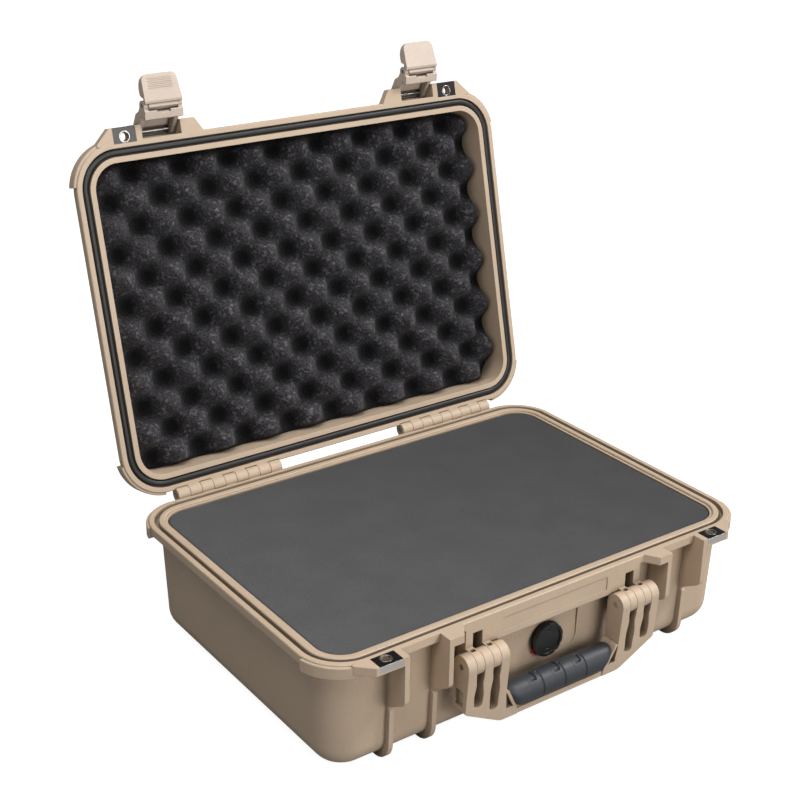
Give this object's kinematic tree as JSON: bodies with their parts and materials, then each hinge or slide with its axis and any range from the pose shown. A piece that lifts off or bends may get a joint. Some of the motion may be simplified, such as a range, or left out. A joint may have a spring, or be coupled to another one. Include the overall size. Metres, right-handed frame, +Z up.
{
  "type": "laptop hard case",
  "caption": "Rigid moulded carrying case with hinged lid, double-throw latches, folding front handle, pressure valve, padlock plates and foam lining, shown open.",
  "frame": {"origin": "on the ground plane the feet stand on, under the middle of the open case", "axes": "+X to the right along the front, +Y from the front to the hinge, +Z up"},
  "size_m": [0.4626, 0.4548, 0.4873],
  "materials": {
    "case_plastic": "fine moulded texture",
    "latch_plastic": "smooth satin",
    "foam_flat": "fine open-cell foam",
    "foam_convoluted": "coarse open-cell foam",
    "seal_rubber": "satin",
    "grip_rubber": "satin",
    "valve_plastic": "satin",
    "o_ring_rubber": "satin",
    "stainless_steel": "brushed"
  },
  "bodies": {
    "base": {"base_shell": "case_plastic", "base_foam_top": "foam_flat", "base_foam_middle": "foam_flat", "base_foam_bottom": "foam_flat", "valve_body": "valve_plastic", "valve_cap": "valve_plastic", "valve_o_ring": "o_ring_rubber", "valve_nut": "valve_plastic", "padlock_plate_base_left": "stainless_steel", "padlock_plate_base_right": "stainless_steel", "hinge_pin_left": "stainless_steel", "hinge_pin_right": "stainless_steel", "handle_pin_left": "stainless_steel", "handle_pin_right": "stainless_steel"},
    "lid": {"lid_shell": "case_plastic", "lid_seal": "seal_rubber", "lid_foam": "foam_convoluted", "padlock_plate_lid_left": "stainless_steel", "padlock_plate_lid_right": "stainless_steel", "latch_pin_left": "stainless_steel", "latch_pin_right": "stainless_steel"},
    "latch_arm_left": {"latch_arm_left": "latch_plastic", "latch_lever_pin_left": "stainless_steel"},
    "latch_arm_right": {"latch_arm_right": "latch_plastic", "latch_lever_pin_right": "stainless_steel"},
    "latch_lever_left": {"latch_lever_left": "latch_plastic"},
    "latch_lever_right": {"latch_lever_right": "latch_plastic"},
    "handle": {"handle_frame": "case_plastic", "handle_grip": "grip_rubber"}
  },
  "joints": [
    {"name": "lid_hinge", "type": "hinge", "parent": "base", "child": "lid", "pos_m": [0, 0.11359, 0.116], "axis": [1, 0, 0], "range_deg": [0, 103.2]},
    {"name": "latch_arm_left_pivot", "type": "hinge", "parent": "lid", "child": "latch_arm_left", "pos_m": [-0.14075, 0.20336, 0.43349], "axis": [1, 0, 0], "range_deg": [0, 45.1]},
    {"name": "latch_lever_left_pivot", "type": "hinge", "parent": "latch_arm_left", "child": "latch_lever_left", "pos_m": [-0.14075, 0.18654, 0.46072], "axis": [1, 0, 0], "range_deg": [0, 54.7]},
    {"name": "latch_arm_right_pivot", "type": "hinge", "parent": "lid", "child": "latch_arm_right", "pos_m": [0.14075, 0.20336, 0.43349], "axis": [1, 0, 0], "range_deg": [0, 45.1]},
    {"name": "latch_lever_right_pivot", "type": "hinge", "parent": "latch_arm_right", "child": "latch_lever_right", "pos_m": [0.14075, 0.18654, 0.46072], "axis": [1, 0, 0], "range_deg": [0, 54.7]},
    {"name": "handle_pivot", "type": "hinge", "parent": "base", "child": "handle", "pos_m": [0, -0.21741, 0.08], "axis": [-1, 0, 0], "range_deg": [0, 100]}
  ]
}
